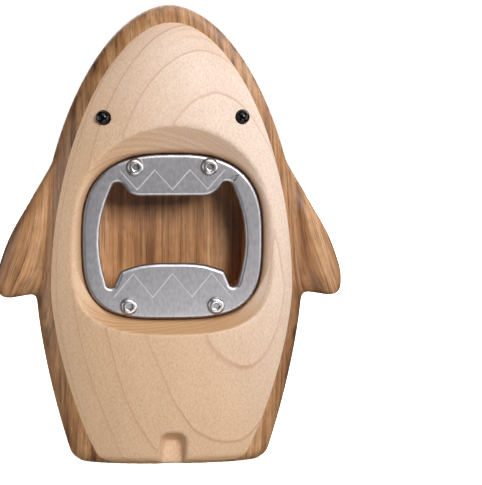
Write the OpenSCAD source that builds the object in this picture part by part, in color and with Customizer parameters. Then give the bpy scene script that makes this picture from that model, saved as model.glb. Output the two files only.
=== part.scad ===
// Standing wooden shark whose mouth is a steel bottle opener.
// The shark faces -Y and stands on Z = 0 with its middle on the Z axis. Units are millimetres.
// Two boards are glued back to front, the steel plate is screwed on inside the mouth.

/* [Body] */
// Height from the floor to the tip of the nose
body_h = 150; // [140:1:160]
// Width across the belly without the fins
body_w = 88; // [84:1:92]
// Thickness of the two glued boards at the belly
body_d = 42; // [40:1:44]
// Height of the widest place
belly_z = 58; // [54:1:62]
// Squareness of the horizontal sections, 2 is an ellipse
section_n = 2.15; // [2:0.05:2.4]
// Rounding of the bottom edge
base_round = 2.5; // [1:0.5:4]
// How far the glue line lies in front of the middle
glue_front = 10; // [8:0.5:11]

/* [Fins] */
// Distance from the middle to the outer edge of a fin
fin_reach = 56.5; // [55:0.1:60]
// Height of a fin's lower edge before rounding
fin_low = 53.3; // [50:0.1:58]
// Height of the bend in a fin's leading edge
fin_bend_z = 74; // [70:1:80]
// Thickness of a fin where it leaves the body
fin_root_t = 13; // [10:0.5:15]
// Thickness of a fin at its outer edge
fin_edge_t = 5; // [3:0.5:8]

/* [Mouth] */
// Width of the steel plate
plate_w = 59; // [56:0.5:60]
// Height of the steel plate
plate_h = 54.2; // [52:0.2:56]
// Thickness of the steel plate
plate_t = 2.5; // [2:0.1:3]
// Height of the middle of the mouth
mouth_z = 75; // [73:0.5:77]
// Gap between the plate and the wood round it
plate_gap = 0.3; // [0.2:0.05:0.6]
// Width of the pocket behind the plate
pocket_w = 48.6; // [47:0.2:50]
// Height of the pocket
pocket_h = 36.6; // [36:0.2:38]
// Depth of the pocket into the rear board
pocket_depth = 15; // [12:0.5:18]

/* [Fasteners and eyes] */
// Distance between the two upper screws
upper_span = 24.3; // [22:0.1:26]
// Distance between the two lower screws
lower_span = 28.5; // [26:0.1:30]
// Height of the upper screws above the middle of the mouth
upper_rise = 22.9; // [22:0.1:23]
// Depth of the lower screws below the middle of the mouth
lower_drop = 22.7; // [22:0.1:23]
// Length of a screw under its head
screw_l = 10; // [9:0.5:11]
// Distance between the eyes
eye_span = 45.2; // [40:0.2:48]
// Height of the eyes
eye_z = 114.1; // [112:0.1:116]
// Diameter of an eye
eye_d = 4.8; // [4:0.1:6]

/* [Hidden] */

maple = "#e3c9a8";
walnut = "#94694a";
steel = "#9b9b9e";
screw_steel = "#c4c4c6";
brass = "#b99a52";
bead_black = "#141414";

glue_y = -glue_front;
plate_y = glue_y - plate_t;
ring_sides = 64;
belly_rows = 9;
crown_rows = 15;
crown_n = 1.86;
nose_n = 2.6;
waist_rate = 0.0225;
waist_power = 1.55;
back_rate = 0.0135;
beyond = 3;
thin = 0.01;
arc_step = 10;

m3_d = 3;
m3_hole = 3.4;
m3_thread = 3.1;
m3_head_d = 5.7;
m3_head_h = 1.65;
m3_hex = 2;
hex_depth = 1.05;
head_top_d = 3.3;
head_rim = 0.25;
head_dome = [for (a = [0:15:90]) [head_top_d / 2 + (m3_head_d - head_top_d) / 2 * cos(a),
    head_rim + (m3_head_h - head_rim) * sin(a)]];
insert_d = 4.6;
insert_l = 7;
insert_bore = 4.7;
insert_bore_l = 8.5;
bore_clear = 0.1;
screw_places = [[-upper_span / 2, upper_rise], [upper_span / 2, upper_rise],
    [-lower_span / 2, -lower_drop], [lower_span / 2, -lower_drop]];

fin_y = -1;
fin_core = 34;
eye_y = -14;
eye_floor = -11;

// The flare where it meets the plane just in front of the face
flare_y = -body_d / 2 - 1;
flare_half_w = 47.7;
flare_top = 41.6;
flare_bottom = 32.2;
flare_top_n = 2;
flare_bottom_n = 2.9;

plate_top_n = 2.7;
plate_bottom_n = 3.4;
plate_edge_depth = 1.2;
plate_edge_in = 0.9;
pocket_rise = 0.3;
pocket_r = 6;

groove_w = 0.5;
groove_depth = 0.3;
upper_pitch = 5.75;
upper_root = 21.9;
upper_tip = 15.5;
lower_pitch = 6.4;
lower_root = -19.8;
lower_tip = -12;

notch_back_y = -11;
notch_front_y = -16.6;
round_sides = 48;
oval_sides = 96;

// ---- Body shape -------------------------------------------------------------

function crown(z, n) = pow(max(0, 1 - pow((z - belly_z) / (body_h - belly_z), n)), 1 / n);
function foot(z) = z < base_round ? base_round - sqrt(base_round ^ 2 - (base_round - z) ^ 2) : 0;
function half_width(z) = z > belly_z
    ? body_w / 2 * crown(z, crown_n)
    : body_w / 2 - waist_rate * pow(belly_z - z, waist_power) - foot(z);
function half_depth(z) = z > belly_z
    ? body_d / 2 * crown(z, nose_n)
    : body_d / 2 - back_rate * pow(belly_z - z, waist_power) - foot(z);

// Signed power, which turns a circle's coordinate into a superellipse's
function squared(v, n) = sign(v) * pow(abs(v), 2 / n);
function body_ring(z) = [for (i = [0:ring_sides - 1])
    let (a = 360 * i / ring_sides)
    [half_width(z) * squared(cos(a), section_n), half_depth(z) * squared(sin(a), section_n), z]];

foot_z = [for (i = [0:3]) base_round * (1 - cos(30 * i))];
belly_levels = [for (i = [1:belly_rows]) base_round + (belly_z - base_round) * i / belly_rows];
crown_levels = [for (i = [1:crown_rows - 1]) belly_z + (body_h - belly_z) * sin(90 * i / crown_rows)];
levels = concat(foot_z, belly_levels, crown_levels);

// Outer shape of both boards together: rings stacked from the feet to the nose
module body_shape() {
    rows = len(levels);
    n = ring_sides;
    points = concat([for (z = levels) each body_ring(z)], [[0, 0, body_h]]);
    walls = [for (r = [0:rows - 2]) for (i = [0:n - 1]) let (j = (i + 1) % n)
        each [[r * n + i, (r + 1) * n + i, r * n + j], [r * n + j, (r + 1) * n + i, (r + 1) * n + j]]];
    cap = [for (i = [0:n - 1]) [(rows - 1) * n + i, rows * n, (rows - 1) * n + (i + 1) % n]];
    polyhedron(points, concat([[for (i = [0:n - 1]) i]], walls, cap));
}

// Half space in front of (side = -1) or behind (side = 1) the glue line
module board_side(side) {
    size = [2 * body_h, body_h, 2 * body_h];
    translate([-body_h, side < 0 ? glue_y - body_h : glue_y, -body_h / 2]) cube(size);
}

// ---- Outlines in the X-Z plane ----------------------------------------------

// Points of the arc of radius r that rounds the corner b between a and c
function corner(a, b, c, r) =
    let (u = (a - b) / norm(a - b), v = (c - b) / norm(c - b), half = acos(u * v) / 2,
        mid = b + (u + v) / norm(u + v) * r / sin(half),
        p = b + u * r / tan(half) - mid, q = b + v * r / tan(half) - mid,
        start = atan2(p.y, p.x), sweep = (atan2(q.y, q.x) - start + 540) % 360 - 180,
        steps = max(2, ceil(abs(sweep) / arc_step)))
    [for (i = [0:steps]) mid + r * [cos(start + sweep * i / steps), sin(start + sweep * i / steps)]];

// Closed outline with corners [x, z, radius] rounded by arcs
function rounded(c) = [for (i = [0:len(c) - 1])
    let (a = c[(i + len(c) - 1) % len(c)], b = c[i], d = c[(i + 1) % len(c)])
    each corner([a.x, a.y], [b.x, b.y], [d.x, d.y], b.z)];

// Mirror image of a half outline, in reverse order so that the two halves join
function mirrored(c) = [for (i = [len(c) - 1:-1:0]) [-c[i].x, c[i].y, c[i].z]];

// Egg-shaped outline round the middle of the mouth
module mouth_oval(w, top, bottom, top_n, bottom_n) {
    polygon([for (i = [0:oval_sides - 1])
        let (a = 360 * i / oval_sides, up = sin(a) > 0, n = up ? top_n : bottom_n)
        [w * squared(cos(a), n), mouth_z + (up ? top : bottom) * squared(sin(a), n)]]);
}

module plate_outline(grow) {
    mouth_oval(plate_w / 2 + grow, plate_h / 2 + grow, plate_h / 2 + grow,
        plate_top_n, plate_bottom_n);
}

// Right half of the plate's opening, from the upper lip round to the lower lip
jaw_corners = [[13.5, 13.25, 6], [18.2, 19.5, 1.9], [26.3, 2.8, 40],
    [20.4, -20.1, 1.6], [17, -11.46, 1.5], [10.5, -8.74, 30]];

module jaw_opening() {
    translate([0, mouth_z]) polygon(rounded(concat(jaw_corners, mirrored(jaw_corners))));
}

// Rounded rectangle made of true arcs
module round_rect(w, h, r) {
    square([w - 2 * r, h], center = true);
    square([w, h - 2 * r], center = true);
    for (x = [-1, 1], y = [-1, 1]) {
        translate([x * (w / 2 - r), y * (h / 2 - r)]) circle(r, $fn = round_sides);
    }
}

// Zigzag groove of teeth, measured from the middle of the mouth
module tooth_line(pitch, root_z, tip_z) {
    rise = groove_w / 2 / sin(atan(pitch / abs(tip_z - root_z)));
    function zigzag(side) = [for (i = [-3:3])
        [i * pitch, mouth_z + (i % 2 == 0 ? tip_z : root_z) + side * rise]];
    upper = zigzag(1);
    lower = zigzag(-1);
    polygon(concat(upper, [for (i = [6:-1:0]) lower[i]]));
}

// Extrudes an outline from the plane Y = back towards the front
module slab(back, depth) {
    translate([0, back, 0]) rotate([90, 0, 0]) linear_extrude(depth) children();
}

// Cylinder along Y that starts at Y = back and runs towards the front
module peg(x, back, z, d, l) {
    translate([x, back, z]) rotate([90, 0, 0]) cylinder(d = d, h = l, $fn = round_sides);
}

module at_screw(i) {
    translate([screw_places[i].x, 0, mouth_z + screw_places[i].y]) children();
}

// ---- Wooden boards ----------------------------------------------------------

// Flared mouth from the plate's edge out to the face
module mouth_flare() {
    hull() {
        slab(plate_y + thin, thin) plate_outline(plate_gap);
        slab(flare_y, thin)
            mouth_oval(flare_half_w, flare_top, flare_bottom, flare_top_n, flare_bottom_n);
    }
}

// Outline of an arch: half widths at its foot and under its top, height and corner radius
module arch(foot_w, top_w, top_z, r) {
    half = [[foot_w, -beyond, 0.5], [top_w, top_z, r]];
    polygon(rounded(concat(half, mirrored(half))));
}

// Arched notch between the two feet, wider at the front
module feet_notch() {
    hull() {
        slab(notch_back_y, thin) arch(3.2, 2.2, 8.1, 1.9);
        slab(notch_front_y, thin) arch(6.6, 5.4, 11.6, 4.2);
    }
}

module front_face() {
    color(maple) difference() {
        intersection() {
            body_shape();
            board_side(-1);
        }
        slab(glue_y + beyond, plate_t + beyond) plate_outline(plate_gap);
        mouth_flare();
        feet_notch();
        for (s = [-1, 1]) peg(s * eye_span / 2, eye_floor, eye_z, eye_d + bore_clear, body_d);
    }
}

// One side fin, a wedge that is thickest inside the body and thin along its outer edge
module fin() {
    outline = [[fin_core, 106, 1], [53, fin_bend_z, 50], [fin_reach, fin_low + 9, 14],
        [fin_reach, fin_low, 3.5], [fin_core, fin_low + 2, 1]];
    root = [[fin_core, 100], [40, 94], [45, 80], [46.5, fin_low + 5], [fin_core, fin_low + 3.5]];
    hull() {
        slab(fin_y + fin_edge_t / 2, fin_edge_t) polygon(rounded(outline));
        slab(fin_y + fin_root_t / 2, fin_root_t) polygon(root);
    }
}

module rear_body() {
    color(walnut) difference() {
        union() {
            intersection() {
                body_shape();
                board_side(1);
            }
            fin();
            mirror([1, 0, 0]) fin();
        }
        slab(glue_y + pocket_depth, pocket_depth + beyond)
            translate([0, mouth_z + pocket_rise]) round_rect(pocket_w, pocket_h, pocket_r);
        for (i = [0:3]) at_screw(i) peg(0, glue_y + insert_bore_l, 0, insert_bore, insert_bore_l + beyond);
    }
}

// ---- Steel plate, screws and threaded inserts -------------------------------

module opener_plate() {
    color(steel) difference() {
        hull() {
            slab(glue_y, plate_t - plate_edge_depth) plate_outline(0);
            slab(glue_y, plate_t) plate_outline(-plate_edge_in);
        }
        slab(glue_y + beyond, plate_t + 2 * beyond) jaw_opening();
        slab(plate_y + groove_depth, groove_depth + beyond) {
            tooth_line(upper_pitch, upper_root, upper_tip);
            tooth_line(lower_pitch, lower_root, lower_tip);
        }
        for (i = [0:3]) at_screw(i) peg(0, glue_y + beyond, 0, m3_hole, plate_t + 2 * beyond);
    }
}

// Button-head screw with a hex socket, lying along Y with its head on the plate
module screw(i) {
    color(screw_steel) at_screw(i) translate([0, plate_y, 0]) rotate([90, 0, 0]) difference() {
        union() {
            translate([0, 0, -screw_l]) cylinder(d = m3_d, h = screw_l + m3_head_h / 2, $fn = round_sides);
            rotate_extrude($fn = ring_sides)
                polygon(concat([[0, 0], [m3_head_d / 2, 0]], head_dome, [[0, m3_head_h]]));
        }
        translate([0, 0, m3_head_h - hex_depth]) cylinder(d = m3_hex / cos(30), h = beyond, $fn = 6);
    }
}

module insert(i) {
    color(brass) at_screw(i) difference() {
        peg(0, glue_y + insert_l, 0, insert_d, insert_l);
        peg(0, glue_y + insert_l + beyond, 0, m3_thread, insert_l + 2 * beyond);
    }
}

// ---- Eyes -------------------------------------------------------------------

module eye(side) {
    x = side * eye_span / 2;
    color(bead_black) {
        peg(x, eye_floor - bore_clear, eye_z, eye_d, eye_floor - bore_clear - eye_y);
        translate([x, eye_y, eye_z]) sphere(d = eye_d, $fn = ring_sides);
    }
}

front_face();
rear_body();
opener_plate();
screw(0);  // screw_upper_left
screw(1);  // screw_upper_right
screw(2);  // screw_lower_left
screw(3);  // screw_lower_right
insert(0);  // insert_upper_left
insert(1);  // insert_upper_right
insert(2);  // insert_lower_left
insert(3);  // insert_lower_right
eye(-1);  // eye_left
eye(1);  // eye_right
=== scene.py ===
import math

import bpy
import bmesh
from bpy.props import FloatProperty, FloatVectorProperty, IntProperty, PointerProperty
from mathutils import Matrix, Vector


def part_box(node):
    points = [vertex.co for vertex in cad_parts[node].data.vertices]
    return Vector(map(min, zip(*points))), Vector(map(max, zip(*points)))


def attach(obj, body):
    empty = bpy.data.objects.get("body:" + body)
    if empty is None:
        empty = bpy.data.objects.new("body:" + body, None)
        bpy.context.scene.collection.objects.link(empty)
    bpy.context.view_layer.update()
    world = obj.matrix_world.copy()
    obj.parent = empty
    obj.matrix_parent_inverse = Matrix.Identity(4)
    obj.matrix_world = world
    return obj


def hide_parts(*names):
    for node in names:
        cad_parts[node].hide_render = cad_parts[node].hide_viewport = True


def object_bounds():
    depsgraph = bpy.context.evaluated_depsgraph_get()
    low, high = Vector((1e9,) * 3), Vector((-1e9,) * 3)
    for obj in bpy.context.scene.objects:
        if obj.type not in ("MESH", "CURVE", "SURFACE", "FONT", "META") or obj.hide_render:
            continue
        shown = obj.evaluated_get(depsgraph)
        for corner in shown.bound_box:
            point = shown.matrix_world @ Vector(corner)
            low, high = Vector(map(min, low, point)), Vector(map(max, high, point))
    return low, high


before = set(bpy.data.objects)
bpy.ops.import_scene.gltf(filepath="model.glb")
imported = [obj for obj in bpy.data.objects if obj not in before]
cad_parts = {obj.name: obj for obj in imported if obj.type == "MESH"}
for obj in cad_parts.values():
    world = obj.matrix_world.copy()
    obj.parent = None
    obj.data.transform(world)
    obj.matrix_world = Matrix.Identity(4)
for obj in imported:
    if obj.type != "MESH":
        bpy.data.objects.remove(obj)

bl_info = {
    "name": "Shark Bottle Opener",
    "version": (1, 0, 0),
    "blender": (4, 5, 0),
    "location": "3D View > Sidebar > Shark Opener",
    "description": "Builds a standing wooden shark with a steel bottle opener for a mouth",
    "category": "Add Mesh",
}

MM = 0.001
# How near to a plane a point counts as lying on it
FLUSH = MM / 100
# How far a cutting tool reaches past the face that it cuts
OVERCUT = MM
SCREWS = ("upper_left", "upper_right", "lower_left", "lower_right")
SIDES = ("left", "right")

# Places that the frame settles
CAD_LOW, CAD_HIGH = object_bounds()
HEIGHT = CAD_HIGH.z
HALF_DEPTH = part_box("rear_body")[1].y
GLUE_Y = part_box("front_face")[1].y
PLATE_LOW, PLATE_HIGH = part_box("opener_plate")
PLATE_Y = PLATE_LOW.y
MOUTH_Z = (PLATE_LOW.z + PLATE_HIGH.z) / 2


def middle(node):
    """Middle of a frame node's box."""
    low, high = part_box(node)
    return (low + high) / 2


# ---- Colours and settings ---------------------------------------------------


def linear(code):
    """Linear RGB of an sRGB hex colour."""
    channels = [int(code[i:i + 2], 16) / 255 for i in (1, 3, 5)]
    return tuple(c / 12.92 if c <= 0.04045 else ((c + 0.055) / 1.055) ** 2.4 for c in channels)


def length(name, text, millimetres):
    """A length setting, given in millimetres and kept in metres."""
    return FloatProperty(name=name, description=text, default=millimetres * MM, min=0.0,
                         subtype="DISTANCE", unit="LENGTH", precision=5)


def number(name, text, value):
    """A setting that is a plain number."""
    return FloatProperty(name=name, description=text, default=value)


def colour(name, text, code):
    """A colour setting, given as an sRGB hex colour and kept as linear RGB."""
    return FloatVectorProperty(name=name, description=text, default=linear(code), size=3,
                               min=0.0, max=1.0, subtype="COLOR")


class SharkBoards(bpy.types.PropertyGroup):
    """Shape and finish of the two wooden boards."""
    belly_width: length("Belly width", "Width of the body at its widest, without the fins", 88)
    belly_height: length("Belly height", "Height at which the body is widest", 58)
    squareness: number("Squareness", "Power of the horizontal sections, 2 is an ellipse", 2.15)
    base_round: length("Base rounding", "Radius round the bottom edge", 3.5)
    flare_width: length("Flare width", "Width of the mouth's flare in front of the face", 95.4)
    flare_top: length("Flare top", "Height of the flare above the middle of the mouth", 41.6)
    flare_bottom: length("Flare bottom", "Depth of the flare below the middle of the mouth", 32.2)
    fin_tip: length("Fin tip", "Distance from the middle to a fin's tip before sanding", 56.9)
    fin_low: length("Fin bottom", "Height of a fin's lower edge before sanding", 53.3)
    fin_edge: length("Fin edge", "Thickness of a fin at its outer edge", 6)
    fin_crest: length("Fin crest", "Thickness of a fin along its middle", 14)
    pocket_width: length("Pocket width", "Width of the pocket behind the plate", 48.6)
    pocket_height: length("Pocket height", "Height of the pocket", 36.6)
    pocket_depth: length("Pocket depth", "Depth of the pocket in the rear board", 15)
    grain: length("Surface cell", "Size of the cells that the sanded surface is made of", 0.55)
    sanding: IntProperty(name="Sanding", description="Passes that round every edge", default=8, min=0)
    fin_sanding: IntProperty(name="Fin sanding", description="Extra passes that soften the fins",
                             default=60, min=0)
    ring_spacing: length("Growth ring", "Distance between two growth lines of the pale wood", 3.8)
    maple: colour("Maple", "Pale wood between the growth lines", "#e4bf9b")
    # Painted sheen: this colour stands for the light on the lit right and top of the head, not for
    # paler outer wood
    maple_painted_sheen: colour("Maple pale", "Paler, pinkish outer wood", "#efd9ca")
    # Painted shade in the recess round the plate, not wood that the cutter turned brown
    maple_recess_shade: colour("Maple burnt", "Pale wood browned by the cutter round the plate", "#9c6b42")
    maple_line: colour("Maple line", "Growth lines of the pale wood", "#bf8a66")
    maple_end: colour("Maple end grain", "Pale wood cut across its fibres", "#d6a26e")
    walnut: colour("Walnut", "Middle tone of the brown wood", "#bd8757")
    walnut_pale: colour("Walnut pale", "Lightest streaks of the brown wood", "#dcab7c")
    walnut_dark: colour("Walnut dark", "Darkest streaks of the brown wood", "#784a2a")


class SharkSteel(bpy.types.PropertyGroup):
    """Shape and finish of the plate and its screws, and the finish of the inserts and the beads."""
    gap: length("Gap", "Gap between the plate and the wood round it", 0.25)
    edge_round: length("Edge rounding", "Radius of the plate's front edges", 1.2)
    groove_width: length("Groove width", "Width of the engraved tooth line", 0.38)
    groove_depth: length("Groove depth", "Depth of the engraved tooth line", 0.25)
    head_width: length("Head width", "Diameter of a screw head", 5.7)
    head_flat: length("Head flat", "Diameter of the flat top of a screw head", 3.3)
    thread_width: length("Thread width", "Diameter of a screw's shank", 3)
    socket: length("Socket", "Width across the flats of the hex socket", 2)
    plate: colour("Plate steel", "Satin stainless steel", "#a19fa2")
    # Partly a painted highlight: the frosted groove is made paler than the plate for the light that it
    # catches
    etched: colour("Etched line", "Bright frosted bottom of the tooth line", "#d2d1d2")
    screw: colour("Screw steel", "Bright turned stainless steel", "#b7b5b5")
    brass: colour("Brass", "Turned brass of the threaded inserts", "#c8a45c")
    bead: colour("Bead", "Black glazed bead", "#0b0b0c")


class SharkStage(bpy.types.PropertyGroup):
    """Floor, lights and camera."""
    floor: colour("Floor", "Pale acrylic floor", "#f4f3f3")
    key_power: number("Key light", "Power of the light in front on the right, in watts", 6.8)
    front_power: number("Front light", "Power of the light high in front, in watts", 0.7)
    back_power: number("Back lights", "Power of each of the two lights behind, in watts", 3)
    left_power: number("Left light", "Power of the light on the left, in watts", 1.2)
    right_power: number("Right light", "Power of the light behind on the right, in watts", 2)
    table_card_power: number("Table card", "Power of the low card in front, in watts", 0.09)
    bounce_power: number("Table bounce", "Power of the light that the table throws up, in watts", 1)
    cards_power: number("Cards", "Power of the right card, in watts; the left one has a third and the "
                        "top one has half", 2.8)
    room: number("Room light", "Strength of the dim white room round the object", 0.05)
    floor_glow: number("Floor glow", "Strength of the floor's own light", 1.1)
    lens: FloatProperty(name="Lens", description="Focal length of the camera", default=248,
                        subtype="DISTANCE_CAMERA")
    azimuth: FloatProperty(name="Camera turn", description="Turn of the camera round the shark",
                           default=math.radians(-5), subtype="ANGLE", unit="ROTATION")
    elevation: FloatProperty(name="Camera height", description="Angle of the camera over the floor",
                             default=math.radians(6), subtype="ANGLE", unit="ROTATION")
    distance: length("Camera distance", "Distance from the camera to the mouth", 1100)


# ---- Modelling helpers ------------------------------------------------------


def deselect():
    """Leaves no object selected."""
    bpy.ops.object.select_all(action="DESELECT")


def choose(piece):
    """Makes one object the only selected and the active one."""
    deselect()
    piece.select_set(True)
    bpy.context.view_layer.objects.active = piece


def edit(piece, kind="FACE"):
    """Starts to edit a piece's mesh, with all of it selected."""
    choose(piece)
    bpy.ops.object.mode_set(mode="EDIT")
    bpy.ops.mesh.select_mode(type=kind)
    bpy.ops.mesh.select_all(action="SELECT")


def leave():
    """Ends the editing of a mesh."""
    bpy.ops.object.mode_set(mode="OBJECT")


def select_where(piece, test, kind="faces"):
    """Selects the faces, edges or vertices of a piece in edit mode that pass a test."""
    bpy.ops.mesh.select_all(action="DESELECT")
    shape = bmesh.from_edit_mesh(piece.data)
    for part in getattr(shape, kind):
        part.select_set(bool(test(part)))
    shape.select_flush(kind != "faces")
    bmesh.update_edit_mesh(piece.data)


def apply_modifier(piece, kind, **values):
    """Adds a modifier, sets it up and applies it."""
    choose(piece)
    modifier = piece.modifiers.new(kind.lower(), kind)
    for key, value in values.items():
        setattr(modifier, key, value)
    bpy.ops.object.modifier_apply(modifier=modifier.name)


def carve(piece, *tools):
    """Cuts the tools out of a piece and removes them. A cut face takes the tool's material."""
    for tool in tools:
        apply_modifier(piece, "BOOLEAN", object=tool, operation="DIFFERENCE", solver="MANIFOLD",
                        material_mode="TRANSFER")
        bpy.data.objects.remove(tool)


def join(piece, *others):
    """Makes the other objects part of a piece."""
    choose(piece)
    for other in others:
        other.select_set(True)
    bpy.ops.object.join()


def squared(value, power):
    """Turns a circle's coordinate into a superellipse's."""
    return math.copysign(abs(value) ** (2 / power), value)


def flat_shape(points):
    """One face with a corner at each point. It starts as a circle whose corners are then moved."""
    deselect()
    bpy.ops.mesh.primitive_circle_add(vertices=len(points), radius=MM, fill_type="NGON")
    piece = bpy.context.object
    for vertex, point in zip(piece.data.vertices, points):
        vertex.co = point
    return piece


def prism(outline, front, back):
    """A closed block with an outline in X and Z, from Y = front to Y = back."""
    piece = flat_shape([(x, front, z) for x, z in outline])
    edit(piece)
    bpy.ops.mesh.extrude_region_move(TRANSFORM_OT_translate={"value": (0, back - front, 0)})
    bpy.ops.mesh.select_all(action="SELECT")
    bpy.ops.mesh.normals_make_consistent(inside=False)
    leave()
    return piece


def wrap(piece):
    """Turns a piece into the convex block round all its points."""
    edit(piece)
    bpy.ops.mesh.convex_hull()
    bpy.ops.mesh.normals_make_consistent(inside=False)
    leave()


def tapered(front_outline, front, back_outline, back):
    """A closed convex block that runs from one outline to another."""
    piece = flat_shape([(x, front, z) for x, z in front_outline])
    join(piece, flat_shape([(x, back, z) for x, z in back_outline]))
    wrap(piece)
    return piece


def turned(centre, profile, sides, name):
    """A turned piece round a line along Y: each step of the profile is (radius, Y)."""
    radius, y = profile[0]
    piece = flat_shape([(centre.x + radius * math.cos(2 * math.pi * i / sides), y,
                         centre.z + radius * math.sin(2 * math.pi * i / sides))
                        for i in range(sides)])
    piece.name = name
    edit(piece)
    for wider, further in profile[1:]:
        bpy.ops.mesh.extrude_region_move(TRANSFORM_OT_translate={"value": (0, further - y, 0)})
        scale = wider / radius
        bpy.ops.transform.resize(value=(scale, 1, scale), center_override=(centre.x, further, centre.z))
        radius, y = wider, further
    bpy.ops.mesh.select_all(action="SELECT")
    bpy.ops.mesh.normals_make_consistent(inside=False)
    leave()
    return piece


def smooth(piece, degrees=35):
    """Shades a piece smooth, except at edges sharper than an angle."""
    choose(piece)
    bpy.ops.object.shade_smooth_by_angle(angle=math.radians(degrees))


def place(piece, node, material):
    """Gives a finished piece its material and its place in the frame."""
    piece.data.materials.clear()
    piece.data.materials.append(material)
    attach(piece, "root")
    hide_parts(node)


# ---- Outlines in X and Z ----------------------------------------------------

ARC_STEP = math.radians(7)
# Powers of the plate's superellipse above and below its middle
PLATE_TOP_POWER = 2.7
PLATE_BOTTOM_POWER = 3.4


def arc_corner(before, corner, after, radius):
    """Points of the arc that rounds a corner."""
    u = (before - corner).normalized()
    v = (after - corner).normalized()
    half = u.angle(v) / 2
    middle_point = corner + (u + v).normalized() * radius / math.sin(half)
    start = corner + u * radius / math.tan(half) - middle_point
    end = corner + v * radius / math.tan(half) - middle_point
    sweep = -start.angle_signed(end)
    steps = max(3, math.ceil(abs(sweep) / ARC_STEP))
    return [middle_point + Matrix.Rotation(sweep * i / steps, 2) @ start for i in range(steps + 1)]


def rounded(corners):
    """Closed outline in metres, from corners (x, z, radius) in millimetres."""
    points = [Vector(corner[:2]) for corner in corners]
    outline = []
    for i, corner in enumerate(corners):
        after = points[(i + 1) % len(points)]
        outline += arc_corner(points[i - 1], points[i], after, corner[2])
    return [tuple(point * MM) for point in outline]


def mirrored(half):
    """Adds a half outline's mirror image, so that the two halves join."""
    return half + [(-x, z, radius) for x, z, radius in reversed(half)]


def oval(half_width, top, bottom, top_power, bottom_power, steps=128):
    """Egg-shaped outline round the middle of the mouth."""
    outline = []
    for i in range(steps):
        angle = 2 * math.pi * i / steps
        reach, power = (top, top_power) if math.sin(angle) > 0 else (bottom, bottom_power)
        outline.append((half_width * squared(math.cos(angle), power),
                        MOUTH_Z + reach * squared(math.sin(angle), power)))
    return outline


def plate_outline(grow):
    """Outline of the plate, or of the recess round it when it grows by a gap."""
    half_height = (PLATE_HIGH.z - PLATE_LOW.z) / 2 + grow
    return oval(PLATE_HIGH.x + grow, half_height, half_height, PLATE_TOP_POWER, PLATE_BOTTOM_POWER)


def raised(corners):
    """Moves corners that are measured from the middle of the mouth up to it."""
    return [(x, z + MOUTH_Z / MM, radius) for x, z, radius in corners]


# ---- Wooden boards ----------------------------------------------------------

# Powers of the superellipses that the body follows above its belly, across and front to back
CROWN_POWER = 1.86
NOSE_POWER = 2.6
# Below the belly the half width and the half depth shrink, in millimetres, by a rate times the
# drop to this power
WAIST_POWER = 1.55
WAIST_RATE = 0.0225
BACK_RATE = 0.0135
SECTION_SIDES = 128
# Rings of the blank round its bottom edge, up its side and over its nose
BASE_RINGS = 6
SIDE_RINGS = 16
NOSE_RINGS = 36

# Right halves of the notch between the feet, as (x, z, radius) in millimetres: its flared mouth in
# front and its floor, and where each lies
WIDE_ARCH = [(6.6, -3, 0.5), (5.4, 11.6, 4.2)]
ARCH = [(3.2, -3, 0.5), (2.2, 8.1, 1.9)]
WIDE_ARCH_Y = -16.6 * MM
ARCH_Y = -11 * MM
# Powers of the flare's superellipse above and below the middle of the mouth
FLARE_TOP_POWER = 2
FLARE_BOTTOM_POWER = 2.9
EYE_HOLE = 4.9 * MM

# A fin starts inside the body, and its blending into the body starts further out. From here to the
# end of this list, a length that isn't multiplied by MM is in millimetres
FIN_CORE = 34
FIN_BLEND_START = 37
FIN_BLEND_WIDTH = 4
# The sanding of the fins starts a little behind the glue line, which stays straight
GLUE_MARGIN = 0.8
GLUE_BLEND_DEPTH = 2

POCKET_CORNER = 6
# The pocket's middle lies a little above the mouth's
POCKET_RISE = 0.3
INSERT_HOLE = 4.7 * MM
INSERT_HOLE_DEPTH = 8.5 * MM


def body_section(boards, z):
    """Half width and half depth of the body at a height. All are in metres."""
    belly = boards.belly_height
    half_width = boards.belly_width / 2
    if z > belly:
        rise = (z - belly) / (HEIGHT - belly)
        return (half_width * max(0, 1 - rise ** CROWN_POWER) ** (1 / CROWN_POWER),
                HALF_DEPTH * max(0, 1 - rise ** NOSE_POWER) ** (1 / NOSE_POWER))
    drop = (belly - z) / MM
    radius = boards.base_round
    foot = radius - math.sqrt(radius ** 2 - (radius - z) ** 2) if z < radius else 0
    return (half_width - WAIST_RATE * drop ** WAIST_POWER * MM - foot,
            HALF_DEPTH - BACK_RATE * drop ** WAIST_POWER * MM - foot)


def body_blank(boards, name):
    """The whole body before it is split and carved, drawn up from its sole ring by ring."""
    belly = boards.belly_height
    base = boards.base_round
    levels = [base * (1 - math.cos(math.radians(90 * i / BASE_RINGS))) for i in range(BASE_RINGS)]
    levels += [base + (belly - base) * i / SIDE_RINGS for i in range(SIDE_RINGS + 1)]
    levels += [belly + (HEIGHT - belly) * math.sin(math.radians(90 * i / NOSE_RINGS))
               for i in range(1, NOSE_RINGS)]
    width, depth = body_section(boards, 0)
    turns = [2 * math.pi * i / SECTION_SIDES for i in range(SECTION_SIDES)]
    blank = flat_shape([(width * squared(math.cos(turn), boards.squareness),
                         depth * squared(math.sin(turn), boards.squareness), 0) for turn in turns])
    blank.name = name
    edit(blank)
    last = 0
    for z in levels[1:]:
        wider, deeper = body_section(boards, z)
        bpy.ops.mesh.extrude_region_move(TRANSFORM_OT_translate={"value": (0, 0, z - last)})
        bpy.ops.transform.resize(value=(wider / width, deeper / depth, 1), center_override=(0, 0, z))
        width, depth, last = wider, deeper, z
    bpy.ops.mesh.extrude_region_move(TRANSFORM_OT_translate={"value": (0, 0, HEIGHT - last)})
    bpy.ops.mesh.merge(type="CENTER")
    bpy.ops.mesh.select_all(action="SELECT")
    bpy.ops.mesh.normals_make_consistent(inside=False)
    leave()
    return blank


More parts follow.
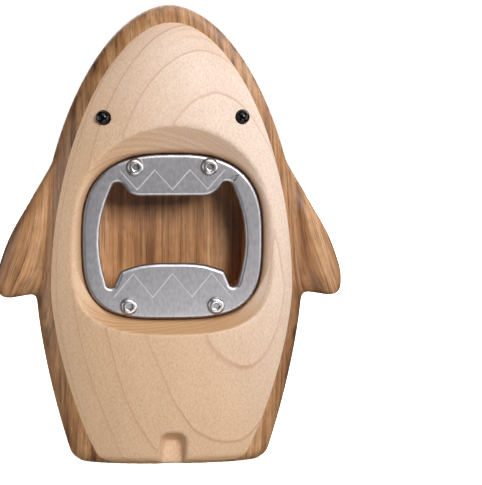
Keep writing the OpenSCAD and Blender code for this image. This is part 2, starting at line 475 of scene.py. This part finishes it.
def sand(piece, boards):
    """Turns a carved blank into one skin with softly rounded edges and a flat sole at Z = 0."""
    apply_modifier(piece, "REMESH", mode="VOXEL", voxel_size=boards.grain)
    apply_modifier(piece, "SMOOTH", factor=0.5, iterations=boards.sanding)
    edit(piece, "VERT")
    select_where(piece, lambda vertex: vertex.co.z < boards.grain / 2, "verts")
    bpy.ops.transform.resize(value=(1, 1, 0), center_override=(0, 0, 0))
    leave()


def split(piece, front):
    """Keeps the part of a piece in front of the glue line, or the part behind it."""
    edit(piece)
    bpy.ops.mesh.bisect(plane_co=(0, GLUE_Y, 0), plane_no=(0, 1, 0), use_fill=True,
                        clear_inner=not front, clear_outer=front, threshold=1e-7)
    leave()


def bore(centre, width, front, back):
    """A round tool along Y that cuts a hole from Y = front to Y = back."""
    return turned(centre, [(width / 2, front), (width / 2, back)], 48, "bore")


class SHARK_OT_front_board(bpy.types.Operator):
    """Build the pale front board with the flared mouth, the eye holes and the notch"""
    bl_idname = "shark.front_board"
    bl_label = "Front board"

    def execute(self, context):
        boards = context.scene.shark_boards
        gap = context.scene.shark_steel.gap
        board = body_blank(boards, "maple_front_board")
        flare = oval(boards.flare_width / 2, boards.flare_top, boards.flare_bottom,
                     FLARE_TOP_POWER, FLARE_BOTTOM_POWER)
        recess = plate_outline(gap)
        carve(board,
              tapered(flare, -HALF_DEPTH - OVERCUT, recess, PLATE_Y),
              prism(recess, PLATE_Y - OVERCUT / 10, GLUE_Y + 2 * OVERCUT),
              tapered(rounded(mirrored(WIDE_ARCH)), WIDE_ARCH_Y, rounded(mirrored(ARCH)), ARCH_Y))
        sand(board, boards)
        split(board, front=True)
        for side in SIDES:
            eye = middle("eye_" + side)
            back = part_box("eye_" + side)[1].y
            carve(board, bore(eye, EYE_HOLE, -HALF_DEPTH, back))
        smooth(board)
        place(board, "front_face", sanded_maple(boards))
        return {"FINISHED"}


class SHARK_OT_rear_board(bpy.types.Operator):
    """Build the brown rear board with both fins and the pocket behind the mouth"""
    bl_idname = "shark.rear_board"
    bl_label = "Rear board and fins"

    def fin(self, boards, side):
        """One fin, on the side -1 or 1: a thin edge and a thicker crest in one convex block."""
        tip, low = boards.fin_tip / MM, boards.fin_low / MM
        edge = rounded([(FIN_CORE, 106, 1), (53, 74, 50), (tip, low + 9, 14), (tip, low, 3.5),
                        (40, low + 3, 1)])
        crest = rounded([(43, 88, 2), (48, 78, 3), (50.5, low + 8, 3), (45, low + 7, 2)])
        middle_y = -MM
        blocks = []
        for outline, thickness in ((edge, boards.fin_edge), (crest, boards.fin_crest)):
            outline = [(side * x, z) for x, z in outline]
            blocks.append(prism(outline, middle_y - thickness / 2, middle_y + thickness / 2))
        join(*blocks)
        wrap(blocks[0])
        return blocks[0]

    def soften_fins(self, board, boards):
        """Sands the fins to a soft paddle and blends them into the body, away from the glue line."""
        group = board.vertex_groups.new(name="fins")
        for vertex in board.data.vertices:
            x, y, z = vertex.co / MM
            beside = min(1, max(0, (abs(x) - FIN_BLEND_START) / FIN_BLEND_WIDTH))
            behind = min(1, max(0, (y - GLUE_Y / MM - GLUE_MARGIN) / GLUE_BLEND_DEPTH))
            group.add([vertex.index], beside * behind, "REPLACE")
        apply_modifier(board, "SMOOTH", factor=0.5, iterations=boards.fin_sanding, vertex_group="fins")
        board.vertex_groups.clear()

    def execute(self, context):
        boards = context.scene.shark_boards
        board = body_blank(boards, "walnut_rear_board")
        join(board, self.fin(boards, -1), self.fin(boards, 1))
        sand(board, boards)
        self.soften_fins(board, boards)
        split(board, front=False)
        half_width = boards.pocket_width / 2 / MM
        half_height = boards.pocket_height / 2 / MM
        corners = mirrored([(half_width, POCKET_RISE + half_height, POCKET_CORNER),
                            (half_width, POCKET_RISE - half_height, POCKET_CORNER)])
        carve(board, prism(rounded(raised(corners)), GLUE_Y - OVERCUT, GLUE_Y + boards.pocket_depth))
        for screw in SCREWS:
            carve(board, bore(middle("insert_" + screw), INSERT_HOLE, GLUE_Y - OVERCUT,
                              GLUE_Y + INSERT_HOLE_DEPTH))
        smooth(board)
        place(board, "rear_body", oiled_walnut(boards))
        return {"FINISHED"}


# ---- Steel parts and beads --------------------------------------------------

# Right half of the plate's opening, from the upper lip round to the lower lip, as
# (x, z, radius) in millimetres from the middle of the mouth
JAW = [(13.5, 13.25, 6), (18.2, 19.5, 1.9), (26.3, 2.8, 40),
       (20.4, -20.1, 1.6), (17, -11.46, 1.5), (10.5, -8.74, 30)]
# Width of half a tooth, height of its root and of its tip, measured from the middle of the mouth
TEETH = ((5.75, 21.9, 15.5), (6.4, -19.8, -12))
# How many half teeth lie on each side of the middle
HALF_TEETH = 3
SCREW_HOLE = 3.4 * MM
# In radians: the plate's front edges turn by more than this, and the joints in its face by less
CORNER_ANGLE = 1

# Height of a screw head's straight side, and the small bevels of heads, shanks, sockets and pegs
RIM = 0.25 * MM
RIM_CHAMFER = 0.1 * MM
THREAD_CHAMFER = 0.3 * MM
THREAD_CHAMFER_LENGTH = 0.4 * MM
SOCKET_DEPTH = 1.05 * MM
SOCKET_CHAMFER = 0.25 * MM
# Each screw stopped this many degrees further round than the last
SCREW_TURN = 17
PEG_CHAMFER = 0.3 * MM
TURNED_SIDES = 64
HEAD_RINGS = 9
DOME_RINGS = 18


def tooth_line(pitch, root, tip, width):
    """Outline of a zigzag band of constant width, along its top and back along its bottom."""
    rise = width / MM / 2 / math.sin(math.atan(pitch / abs(tip - root)))
    outline = []
    for side in (1, -1):
        for step in range(-HALF_TEETH, HALF_TEETH + 1):
            i = side * step
            z = (root if i % 2 else tip) + side * rise
            outline.append((i * pitch * MM, MOUTH_Z + z * MM))
    return outline


class SHARK_OT_plate(bpy.types.Operator):
    """Build the steel plate with its two lips, rounded edges and engraved teeth"""
    bl_idname = "shark.plate"
    bl_label = "Opener plate"

    def execute(self, context):
        steel = context.scene.shark_steel
        plate = prism(plate_outline(0), PLATE_Y, GLUE_Y)
        plate.name = "steel_opener_plate"
        opening = rounded(raised(mirrored(JAW)))
        carve(plate, prism(opening, PLATE_Y - OVERCUT, GLUE_Y + OVERCUT))
        edit(plate, "EDGE")
        select_where(plate, lambda edge: all(v.co.y < PLATE_Y + FLUSH for v in edge.verts)
                     and edge.calc_face_angle(0) > CORNER_ANGLE, "edges")
        bpy.ops.mesh.bevel(offset=steel.edge_round, segments=6, profile=0.5, affect="EDGES",
                           clamp_overlap=False, loop_slide=False)
        leave()
        carve(plate, *(bore(middle("screw_" + screw), SCREW_HOLE, PLATE_Y - OVERCUT, GLUE_Y + OVERCUT)
                       for screw in SCREWS))
        place(plate, "opener_plate", satin_stainless(steel))
        # The grooves get frosted steel, made paler as a painted highlight
        frosted = frosted_glint_groove(steel)
        for pitch, root, tip in TEETH:
            groove = prism(tooth_line(pitch, root, tip, steel.groove_width), PLATE_Y - OVERCUT,
                           PLATE_Y + steel.groove_depth)
            groove.data.materials.append(frosted)
            carve(plate, groove)
        # The cuts leave slivers in the flat face, which would show as dark ticks. A few small faces
        # to the right of the opening stay turned over: its upper corner shows one short tick
        edit(plate)
        bpy.ops.mesh.dissolve_degenerate(threshold=FLUSH)
        bpy.ops.mesh.dissolve_limited(angle_limit=math.radians(0.2), delimit={"MATERIAL"})
        bpy.ops.mesh.quads_convert_to_tris(ngon_method="BEAUTY")
        leave()
        smooth(plate, 25)
        apply_modifier(plate, "WEIGHTED_NORMAL", keep_sharp=True, weight=100)
        return {"FINISHED"}


class SHARK_OT_screws(bpy.types.Operator):
    """Build the four button-head screws and finish the inserts behind them"""
    bl_idname = "shark.screws"
    bl_label = "Plate screws"

    def execute(self, context):
        steel = context.scene.shark_steel
        finish = turned_stainless(steel)
        brass = turned_brass(steel)
        for screw in SCREWS:
            low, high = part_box("screw_" + screw)
            centre = (low + high) / 2
            top, rim = low.y, PLATE_Y - RIM
            thread, head, flat = steel.thread_width / 2, steel.head_width / 2, steel.head_flat / 2
            profile = [(thread - THREAD_CHAMFER, high.y), (thread, high.y - THREAD_CHAMFER_LENGTH),
                       (thread, PLATE_Y), (head - RIM_CHAMFER, PLATE_Y), (head, PLATE_Y - RIM_CHAMFER)]
            for i in range(HEAD_RINGS + 1):
                angle = math.radians(90 * i / HEAD_RINGS)
                profile.append((flat + (head - flat) * math.cos(angle),
                                rim + (top - rim) * math.sin(angle)))
            piece = turned(centre, profile, TURNED_SIDES, "plate_screw_" + screw)
            turn = math.radians(SCREW_TURN * SCREWS.index(screw))
            reach = steel.socket / 2 / math.cos(math.radians(30))
            hexagon = [(centre.x + reach * math.cos(turn + math.radians(60 * i)),
                        centre.z + reach * math.sin(turn + math.radians(60 * i))) for i in range(6)]
            carve(piece, prism(hexagon, top - OVERCUT, top + SOCKET_DEPTH))
            edit(piece, "EDGE")
            select_where(piece, lambda edge: all(v.co.y < top + FLUSH for v in edge.verts)
                         and all((v.co - centre).xz.length < reach * 1.01 for v in edge.verts), "edges")
            bpy.ops.mesh.bevel(offset=SOCKET_CHAMFER, segments=2, affect="EDGES")
            leave()
            smooth(piece, 30)
            place(piece, "screw_" + screw, finish)
            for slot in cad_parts["insert_" + screw].material_slots:
                slot.material = brass
        return {"FINISHED"}


class SHARK_OT_eyes(bpy.types.Operator):
    """Build the two black bead eyes with their pegs"""
    bl_idname = "shark.eyes"
    bl_label = "Bead eyes"

    def execute(self, context):
        finish = glazed_bead(context.scene.shark_steel)
        for side in SIDES:
            low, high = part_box("eye_" + side)
            centre = (low + high) / 2
            radius = (high.x - low.x) / 2
            dome = low.y + radius
            profile = [(radius - PEG_CHAMFER, high.y), (radius, high.y - PEG_CHAMFER), (radius, dome)]
            for i in range(1, DOME_RINGS):
                angle = math.radians(90 * i / DOME_RINGS)
                profile.append((radius * math.cos(angle), dome - radius * math.sin(angle)))
            piece = turned(centre, profile, TURNED_SIDES, "bead_eye_" + side)
            smooth(piece, 30)
            place(piece, "eye_" + side, finish)
        return {"FINISHED"}


# ---- Materials --------------------------------------------------------------


def new_material(name, roughness, metallic=0.0):
    """An empty node material with one Principled shader, which is returned with its node tree."""
    material = bpy.data.materials.new(name)
    material.use_nodes = True
    tree = material.node_tree
    tree.nodes.clear()
    shader = add(tree, "ShaderNodeBsdfPrincipled", Roughness=roughness, Metallic=metallic)
    add(tree, "ShaderNodeOutputMaterial", Surface=shader.outputs[0])
    return material, tree, shader


def add(tree, kind, settings=None, **inputs):
    """Adds a node, sets its properties, and sets or links its inputs.
    An input is named with _ for a space, or In0, In1 and so on by its place."""
    node = tree.nodes.new(kind)
    for key, value in (settings or {}).items():
        setattr(node, key, value)
    for key, value in inputs.items():
        index = int(key[2:]) if key[:2] == "In" and key[2:].isdigit() else key.replace("_", " ")
        socket = node.inputs[index]
        if isinstance(value, bpy.types.NodeSocket):
            tree.links.new(value, socket)
        else:
            socket.default_value = value
    return node


def ramp(tree, factor, *stops):
    """A colour ramp with stops (position, colour)."""
    node = add(tree, "ShaderNodeValToRGB", Fac=factor)
    while len(node.color_ramp.elements) < len(stops):
        node.color_ramp.elements.new(0.5)
    for element, (position, tint) in zip(node.color_ramp.elements, stops):
        element.position = position
        element.color = (*tint, 1)
    return node.outputs["Color"]


def grey(value):
    """A grey of one value, for a ramp."""
    return (value, value, value)


def grain_noise(tree, size, detail=2.0, vector=None, **inputs):
    """Noise whose cells have a size (x, y, z) in millimetres, on the object's own coordinates
    unless others are given."""
    vector = vector or add(tree, "ShaderNodeTexCoord").outputs["Object"]
    scale = tuple(1 / (s * MM) for s in size)
    moved = add(tree, "ShaderNodeMapping", Vector=vector, Scale=scale)
    noise = add(tree, "ShaderNodeTexNoise", Vector=moved.outputs[0], Scale=1.0, Detail=detail, **inputs)
    return noise.outputs["Fac"]


def mix(tree, factor, first, second, mode="MIX"):
    """Mixes two colours, each of them a socket or a constant."""
    node = add(tree, "ShaderNodeMix", {"data_type": "RGBA", "blend_type": mode}, In0=factor)
    for index, value in ((6, first), (7, second)):
        if isinstance(value, bpy.types.NodeSocket):
            tree.links.new(value, node.inputs[index])
        else:
            node.inputs[index].default_value = (*value, 1)
    return node.outputs[2]


def bump(tree, shader, height, depth, strength):
    """Raises and lowers the surface by a depth in millimetres."""
    node = add(tree, "ShaderNodeBump", Height=height, Distance=depth * MM, Strength=strength)
    tree.links.new(node.outputs[0], shader.inputs["Normal"])


def sanded_maple(boards):
    """Hard maple, flat sawn and sanded: silky and matt, with faint reddish growth lines that
    arch round the belly, and darker where the fibres are cut across."""
    material, tree, shader = new_material("sanded_maple", roughness=0.52)
    place_node = add(tree, "ShaderNodeTexCoord")
    # A growth line is a distance from the pith, which ran upright 275 mm behind the middle of the
    # body and 57 mm to its left
    from_pith = add(tree, "ShaderNodeMapping", Vector=place_node.outputs["Object"],
                    Location=(57 * MM, -275 * MM, 0), Scale=(1, 1, 0))
    distance = add(tree, "ShaderNodeVectorMath", {"operation": "LENGTH"}, In0=from_pith.outputs[0])
    # The trunk tapers upwards, and its rings with it
    place_xyz = add(tree, "ShaderNodeSeparateXYZ", Vector=place_node.outputs["Object"])
    taper = add(tree, "ShaderNodeMath", {"operation": "MULTIPLY_ADD"}, In0=place_xyz.outputs["Z"],
                In1=-0.0115, In2=distance.outputs["Value"])
    slow = grain_noise(tree, (35, 35, 60))
    fine = grain_noise(tree, (4, 4, 9))
    wobble = add(tree, "ShaderNodeMath", {"operation": "MULTIPLY_ADD"}, In0=slow, In1=2.4 * MM,
                 In2=taper.outputs[0])
    wobble = add(tree, "ShaderNodeMath", {"operation": "MULTIPLY_ADD"}, In0=fine, In1=0.25 * MM,
                 In2=wobble.outputs[0])
    years = add(tree, "ShaderNodeMath", {"operation": "MULTIPLY_ADD"}, In0=wobble.outputs[0],
                In1=1 / boards.ring_spacing, In2=0.24)
    year = add(tree, "ShaderNodeMath", {"operation": "FRACT"}, In0=years.outputs[0])
    line = ramp(tree, year.outputs[0], (0.0, grey(0.6)), (0.014, grey(0.0)), (0.7, grey(0.0)),
                (0.94, grey(0.14)), (0.975, grey(1.0)))
    fading = grain_noise(tree, (25, 25, 40))
    fading = ramp(tree, fading, (0.35, grey(0.3)), (0.65, grey(0.65)))
    strength = mix(tree, 1.0, line, fading, "MULTIPLY")
    # Painted sheen: the wood on the right and towards the nose is made paler and pinker, where the
    # light falls strongest
    paler = add(tree, "ShaderNodeVectorMath", {"operation": "DOT_PRODUCT"},
                In0=place_node.outputs["Object"], In1=(1 / 0.06, 0, 1 / 0.12))
    paler = add(tree, "ShaderNodeMath", {"operation": "SUBTRACT", "use_clamp": True},
                In0=paler.outputs["Value"], In1=0.4)
    tone = grain_noise(tree, (14, 14, 60), detail=3)
    base = ramp(tree, tone, (0.3, tuple(c * 0.93 for c in boards.maple)), (0.7, tuple(boards.maple)))
    base = mix(tree, paler.outputs[0], base, tuple(boards.maple_painted_sheen))
    # Ray flecks, drawn coarser than real so that they show
    flecks = grain_noise(tree, (0.35, 0.35, 0.9), detail=3)
    flecks = ramp(tree, flecks, (0.34, (0.88, 0.81, 0.72)), (0.6, grey(1.03)))
    base = mix(tree, 1.0, base, flecks, "MULTIPLY")
    wood = mix(tree, strength, base, tuple(boards.maple_line))
    normal = add(tree, "ShaderNodeSeparateXYZ", Vector=place_node.outputs["Normal"])
    across = add(tree, "ShaderNodeMath", {"operation": "ABSOLUTE"}, In0=normal.outputs["Z"])
    end = ramp(tree, across.outputs[0], (0.3, grey(0.0)), (0.85, grey(0.8)))
    wood = mix(tree, end, wood, tuple(boards.maple_end))
    # Painted shade: the wood in the recess round the plate turns brown, most of all next to the plate,
    # where shade falls
    from_mouth = add(tree, "ShaderNodeVectorMath", {"operation": "DISTANCE"},
                     In0=place_node.outputs["Object"], In1=(0, PLATE_Y, MOUTH_Z))
    inside = add(tree, "ShaderNodeMath", {"operation": "LESS_THAN"}, In0=from_mouth.outputs["Value"],
                 In1=33 * MM)
    deep = add(tree, "ShaderNodeMapRange", {"interpolation_type": "SMOOTHSTEP"},
               Value=place_xyz.outputs["Y"], From_Min=PLATE_Y - 1.6 * MM, From_Max=PLATE_Y, To_Max=0.8)
    painted_recess_shade = add(tree, "ShaderNodeMath", {"operation": "MULTIPLY"}, In0=inside.outputs[0],
                  In1=deep.outputs[0])
    wood = mix(tree, painted_recess_shade.outputs[0], wood, tuple(boards.maple_recess_shade))
    # Finer bands inside each year, strongest where the fibres are cut across
    bands = add(tree, "ShaderNodeTexNoise", {"noise_dimensions": "1D"}, W=wobble.outputs[0],
                Scale=1 / (0.7 * MM), Detail=3.0)
    bands = ramp(tree, bands.outputs["Fac"], (0.35, grey(0.75)), (0.6, grey(1.05)))
    depth = ramp(tree, across.outputs[0], (0.3, grey(0.06)), (0.75, grey(0.8)))
    wood = mix(tree, depth, wood, mix(tree, 1.0, wood, bands, "MULTIPLY"))
    tree.links.new(wood, shader.inputs["Base Color"])
    bump(tree, shader, flecks, 0.02, 0.4)
    return material


def oiled_walnut(boards):
    """Light walnut, quarter sawn and oiled: upright brown streaks on the front and back that run
    front to back over the nose, with short dark pores."""
    material, tree, shader = new_material("oiled_walnut", roughness=0.45)
    shader.inputs["Specular IOR Level"].default_value = 0.35
    place_node = add(tree, "ShaderNodeTexCoord").outputs["Object"]
    xyz = add(tree, "ShaderNodeSeparateXYZ", Vector=place_node)
    # The fibres lean outwards in the fins: X is moved in proportion to the height there
    beside = add(tree, "ShaderNodeMath", {"operation": "ABSOLUTE"}, In0=xyz.outputs["X"])
    beside = add(tree, "ShaderNodeMapRange", {"interpolation_type": "SMOOTHSTEP"},
                 Value=beside.outputs[0], From_Min=36 * MM, From_Max=52 * MM, To_Max=0.35)
    side = add(tree, "ShaderNodeMath", {"operation": "SIGN"}, In0=xyz.outputs["X"])
    lean = add(tree, "ShaderNodeMath", {"operation": "MULTIPLY"}, In0=beside.outputs[0],
               In1=side.outputs[0])
    rise = add(tree, "ShaderNodeMath", {"operation": "SUBTRACT"}, In0=xyz.outputs["Z"], In1=MOUTH_Z)
    leaning = add(tree, "ShaderNodeMath", {"operation": "MULTIPLY_ADD"}, In0=lean.outputs[0],
                  In1=rise.outputs[0], In2=xyz.outputs["X"])
    fibres = add(tree, "ShaderNodeCombineXYZ", X=leaning.outputs[0], Y=xyz.outputs["Y"],
                 Z=xyz.outputs["Z"]).outputs[0]
    broad = grain_noise(tree, (8, 30, 90), 2, fibres)
    streaks = grain_noise(tree, (1.6, 12, 40), 5, fibres, Roughness=0.65)
    blend = mix(tree, 0.45, streaks, broad)
    wood = ramp(tree, blend, (0.36, tuple(boards.walnut_dark)), (0.5, tuple(boards.walnut)),
                (0.64, tuple(boards.walnut_pale)))
    # Thin dark year lines that fade in and out
    threads = grain_noise(tree, (0.8, 7, 26), 3, fibres)
    threads = ramp(tree, threads, (0.36, grey(0.35)), (0.45, grey(1.0)))
    wood = mix(tree, 0.65, wood, threads, "MULTIPLY")
    # Fibres, drawn coarser than real so that they show
    hairs = grain_noise(tree, (0.6, 10, 30), 2, fibres)
    hairs = ramp(tree, hairs, (0.4, grey(0.72)), (0.56, grey(1.06)))
    wood = mix(tree, 0.45, wood, hairs, "MULTIPLY")
    mottle = grain_noise(tree, (2.5, 2.5, 4), 4, fibres)
    mottle = ramp(tree, mottle, (0.3, grey(0.8)), (0.7, grey(1.1)))
    wood = mix(tree, 0.7, wood, mottle, "MULTIPLY")
    # Open pores, a little wider than real
    pores = grain_noise(tree, (0.3, 0.5, 3), 2, fibres)
    pores = ramp(tree, pores, (0.3, grey(0.6)), (0.4, grey(1.0)))
    wood = mix(tree, 1.0, wood, pores, "MULTIPLY")
    tree.links.new(wood, shader.inputs["Base Color"])
    bump(tree, shader, pores, 0.04, 0.5)
    return material


def satin_stainless(steel):
    """Stainless steel, tumbled to an even satin: grey and soft, with wide blurred highlights. Its
    clouds and pits are drawn coarser than real so that they show."""
    material, tree, shader = new_material("satin_stainless", roughness=0.36, metallic=1.0)
    clouds = grain_noise(tree, (0.9, 0.9, 1.8), detail=4)
    tint = ramp(tree, clouds, (0.3, tuple(c * 0.84 for c in steel.plate)),
                (0.7, tuple(c * 1.12 for c in steel.plate)))
    tree.links.new(tint, shader.inputs["Base Color"])
    pits = grain_noise(tree, (0.25, 0.25, 0.25), detail=2)
    rough = ramp(tree, pits, (0.3, grey(0.32)), (0.7, grey(0.42)))
    tree.links.new(rough, shader.inputs["Roughness"])
    bump(tree, shader, pits, 0.01, 0.3)
    return material


def frosted_glint_groove(steel):
    """Bottom of the tooth line, frosted by the laser: paler than the plate from every side. Its
    paleness is partly the frosted finish and partly a painted highlight for the light that the groove
    catches. Its grains are drawn coarser than real."""
    material, tree, shader = new_material("frosted_etched_steel", roughness=0.75, metallic=0.4)
    grains = grain_noise(tree, (0.15, 0.15, 0.15))
    tint = ramp(tree, grains, (0.3, tuple(c * 0.85 for c in steel.etched)), (0.7, tuple(steel.etched)))
    tree.links.new(tint, shader.inputs["Base Color"])
    return material


def turned_stainless(steel):
    """Stainless screws, turned and bright: fairly crisp reflections on a faintly uneven grey. The
    specks that make it uneven are drawn coarser than real."""
    material, tree, shader = new_material("turned_stainless", roughness=0.3, metallic=1.0)
    specks = grain_noise(tree, (0.3, 0.3, 0.3))
    tint = ramp(tree, specks, (0.3, tuple(c * 0.9 for c in steel.screw)), (0.7, tuple(steel.screw)))
    tree.links.new(tint, shader.inputs["Base Color"])
    return material


def turned_brass(steel):
    """Turned brass of the inserts in the rear board: warm and bright, with faint rings from the
    lathe, drawn coarser than real."""
    material, tree, shader = new_material("turned_brass", roughness=0.3, metallic=1.0)
    rings = grain_noise(tree, (4, 0.15, 4))
    tint = ramp(tree, rings, (0.3, tuple(c * 0.8 for c in steel.brass)), (0.7, tuple(steel.brass)))
    tree.links.new(tint, shader.inputs["Base Color"])
    return material


def glazed_bead(steel):
    """Black glazed beads: a hard gloss that mirrors each light as a small bright spot."""
    material, tree, shader = new_material("glazed_black_bead", roughness=0.08)
    shader.inputs["Specular IOR Level"].default_value = 0.22
    specks = grain_noise(tree, (0.6, 0.6, 0.6))
    tint = ramp(tree, specks, (0.3, tuple(c * 0.6 for c in steel.bead)), (0.7, tuple(steel.bead)))
    tree.links.new(tint, shader.inputs["Base Color"])
    return material


def matt_acrylic(stage):
    """White acrylic light table: pale, matt and so bright that it hides the object's shadow."""
    material, tree, shader = new_material("matt_acrylic", roughness=0.9)
    shader.inputs["Emission Color"].default_value = (*stage.floor, 1)
    shader.inputs["Emission Strength"].default_value = stage.floor_glow
    clouds = grain_noise(tree, (3, 3, 3))
    tint = ramp(tree, clouds, (0.3, tuple(c * 0.99 for c in stage.floor)), (0.7, tuple(stage.floor)))
    tree.links.new(tint, shader.inputs["Base Color"])
    return material


# ---- Stage ------------------------------------------------------------------


def toward(azimuth, elevation, distance):
    """Vector from the mouth to a place round it. Azimuth 0 is in front, and 90 is on the +X side."""
    a, e = math.radians(azimuth), math.radians(elevation)
    return distance * Vector((math.sin(a) * math.cos(e), -math.cos(a) * math.cos(e), math.sin(e)))


def soft_light(name, azimuth, elevation, distance, width, height, power, glow=True):
    """A rectangular soft light that faces the middle of the mouth. Without glow it is a card, which
    only shows as a reflection."""
    data = bpy.data.lights.new(name, "AREA")
    data.shape = "RECTANGLE"
    data.size, data.size_y, data.energy = width, height, power
    light = bpy.data.objects.new(name, data)
    bpy.context.scene.collection.objects.link(light)
    offset = toward(azimuth, elevation, distance)
    light.location = Vector((0, 0, MOUTH_Z)) + offset
    light.visible_camera = False
    light.visible_diffuse = glow
    light.rotation_euler = (-offset).to_track_quat("-Z", "Y").to_euler()


class SHARK_OT_stage(bpy.types.Operator):
    """Build the floor, the lights and the camera"""
    bl_idname = "shark.stage"
    bl_label = "Stage, lights and camera"

    def execute(self, context):
        stage = context.scene.shark_stage
        deselect()
        bpy.ops.mesh.primitive_plane_add(size=80)
        floor = context.object
        floor.name = "paper_floor"
        floor.data.materials.append(matt_acrylic(stage))
        floor.visible_diffuse = False
        floor.visible_glossy = False
        floor.visible_shadow = False
        soft_light("key_softbox", 22, 23, 0.9, 0.3, 0.3, stage.key_power)
        soft_light("front_softbox", 10, 42, 0.9, 0.3, 0.3, stage.front_power)
        soft_light("back_softbox", 160, 60, 0.9, 0.7, 0.5, stage.back_power)
        soft_light("rear_softbox", 178, 12, 0.9, 0.5, 0.5, stage.back_power)
        soft_light("left_softbox", -97, 0, 0.6, 0.3, 0.4, stage.left_power)
        soft_light("right_softbox", 118, 35, 0.7, 0.3, 0.4, stage.right_power)
        soft_light("table_bounce", 0, -62, 0.6, 0.5, 0.4, stage.bounce_power)
        soft_light("table_card", 12, -27, 0.2, 0.12, 0.04, stage.table_card_power, glow=False)
        soft_light("right_card", 66, 0, 0.6, 0.5, 0.6, stage.cards_power, glow=False)
        soft_light("left_card", -66, 0, 0.6, 0.5, 0.6, stage.cards_power / 3, glow=False)
        soft_light("top_card", 0, 58, 0.6, 0.5, 0.35, stage.cards_power / 2, glow=False)
        world = bpy.data.worlds.new("white_room")
        world.use_nodes = True
        background = world.node_tree.nodes["Background"]
        background.inputs["Color"].default_value = (1, 1, 1, 1)
        background.inputs["Strength"].default_value = stage.room
        context.scene.world = world
        context.scene.view_settings.view_transform = "Standard"
        data = bpy.data.cameras.new("camera")
        data.lens = stage.lens
        data.sensor_width = 36
        data.shift_x, data.shift_y = 0.148, -0.02
        data.clip_start, data.clip_end = 0.01, 100
        camera = bpy.data.objects.new("camera", data)
        context.scene.collection.objects.link(camera)
        offset = toward(math.degrees(stage.azimuth), math.degrees(stage.elevation), stage.distance)
        camera.location = Vector((0, 0, MOUTH_Z)) + offset
        camera.rotation_euler = (-offset).to_track_quat("-Z", "Y").to_euler()
        context.scene.camera = camera
        return {"FINISHED"}


# ---- Sidebar and registration -----------------------------------------------


class SHARK_PT_sidebar(bpy.types.Panel):
    """Buttons that build the shark and the sizes and colours they use"""
    bl_idname = "SHARK_PT_sidebar"
    bl_label = "Shark Opener"
    bl_space_type = "VIEW_3D"
    bl_region_type = "UI"
    bl_category = "Shark Opener"

    def draw(self, context):
        for group in GROUPS:
            box = self.layout.box()
            settings = getattr(context.scene, group)
            for key in settings.bl_rna.properties.keys():
                if key not in ("rna_type", "name"):
                    box.prop(settings, key)
        for operator in OPERATORS:
            self.layout.operator(operator.bl_idname)


GROUPS = {"shark_boards": SharkBoards, "shark_steel": SharkSteel, "shark_stage": SharkStage}
OPERATORS = (SHARK_OT_front_board, SHARK_OT_rear_board, SHARK_OT_plate, SHARK_OT_screws,
             SHARK_OT_eyes, SHARK_OT_stage)
CLASSES = (*GROUPS.values(), *OPERATORS, SHARK_PT_sidebar)


def register():
    for kind in CLASSES:
        bpy.utils.register_class(kind)
    for name, group in GROUPS.items():
        setattr(bpy.types.Scene, name, PointerProperty(type=group))


def unregister():
    for name in GROUPS:
        delattr(bpy.types.Scene, name)
    for kind in reversed(CLASSES):
        bpy.utils.unregister_class(kind)


def main():
    register()
    bpy.ops.shark.front_board()
    bpy.ops.shark.rear_board()
    bpy.ops.shark.plate()
    bpy.ops.shark.screws()
    bpy.ops.shark.eyes()
    bpy.ops.shark.stage()


if __name__ == "__main__":
    main()
